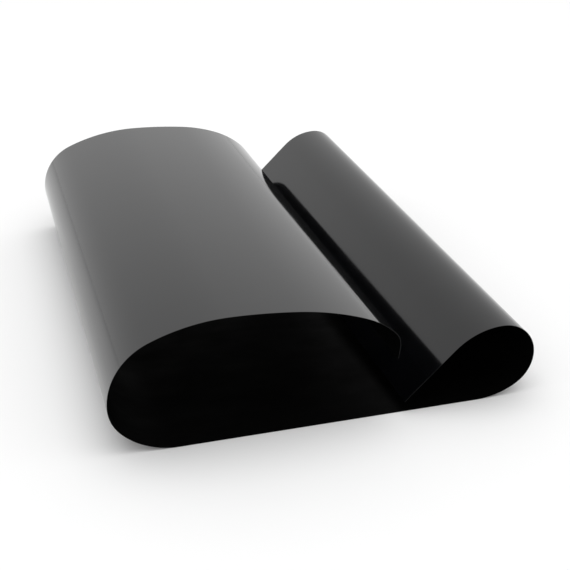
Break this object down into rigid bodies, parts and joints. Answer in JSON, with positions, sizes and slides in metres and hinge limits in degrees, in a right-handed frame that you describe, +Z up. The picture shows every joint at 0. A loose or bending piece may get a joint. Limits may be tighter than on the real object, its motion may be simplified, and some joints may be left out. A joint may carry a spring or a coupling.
{
  "type": "sign vinyl sheet roll",
  "caption": "Loose sheet of glossy black self-adhesive sign vinyl, lying film side out with a large curl at one end and a small curl at the other.",
  "frame": {"origin": "centre of the footprint on the surface that the sheet lies on", "axes": "+Z up; +Y along the curls, from the front edge to the rear edge; +X from the large curl to the small curl"},
  "size_m": [0.2218, 0.3048, 0.0667],
  "materials": {
    "gloss_film": "high gloss black vinyl",
    "adhesive": "thin grey-black pressure-sensitive adhesive",
    "liner": "smooth black silicone-coated release paper"
  },
  "bodies": {
    "bed": {"face_film_bed": "gloss_film", "adhesive_bed": "adhesive", "release_liner_bed": "liner"},
    "large_lip": {"face_film_large_lip": "gloss_film", "adhesive_large_lip": "adhesive", "release_liner_large_lip": "liner"},
    "small_lip": {"face_film_small_lip": "gloss_film", "adhesive_small_lip": "adhesive", "release_liner_small_lip": "liner"}
  },
  "joints": [
    {"name": "large_lip_lift", "type": "hinge", "parent": "bed", "child": "large_lip", "pos_m": [-0.05052, -0.1524, 0.06672], "axis": [-0.0153, -0.9999, 0.0006], "range_deg": [0, 50], "stiffness_Nm_per_rad": 0.016},
    {"name": "small_lip_lift", "type": "hinge", "parent": "bed", "child": "small_lip", "pos_m": [0.09207, -0.1524, 0.0416], "axis": [-0.0169, 0.9992, 0.0367], "range_deg": [0, 10], "stiffness_Nm_per_rad": 0.016}
  ]
}
